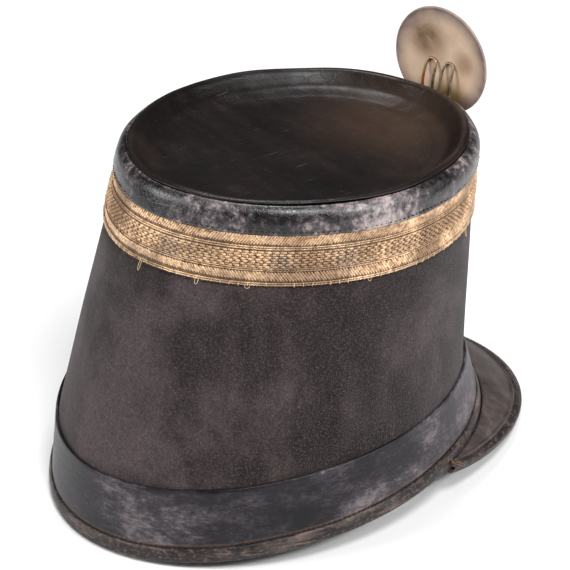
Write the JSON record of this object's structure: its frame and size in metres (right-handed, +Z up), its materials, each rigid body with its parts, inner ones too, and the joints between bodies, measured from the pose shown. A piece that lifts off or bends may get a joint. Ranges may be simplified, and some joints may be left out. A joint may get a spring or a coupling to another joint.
{
  "type": "shako hat",
  "caption": "Stiff oval military cap with a tapering cloth-covered wall, dished leather top, leather bands, woven lace, a small sloping peak and a round metal cockade.",
  "frame": {"origin": "on the table, under the middle of the cap's outer box; the back of the base and the tip of the peak touch the table", "axes": "+Z up; the peak points to -Y; +X is the wearer's left"},
  "size_m": [0.1714, 0.2344, 0.1815],
  "materials": {
    "cloth": "faded black felted wool",
    "band_leather": "worn black leather with grey streaks",
    "dark_leather": "dark waxed leather",
    "lace": "tarnished woven metal lace",
    "worn_leather": "black leather worn to grey",
    "lacquered_leather": "glossy black lacquer with fine scratches",
    "peak_leather": "brown-black leather",
    "cockade_metal": "silvered brass, tarnished"
  },
  "bodies": {
    "root": {"crown_body": "cloth", "bottom_band": "band_leather", "base_binding": "dark_leather", "lace_band": "lace", "top_band": "worn_leather", "crown_top": "lacquered_leather", "peak": "peak_leather", "peak_binding": "dark_leather", "cockade": "cockade_metal", "cockade_slip": "dark_leather"}
  },
  "joints": []
}
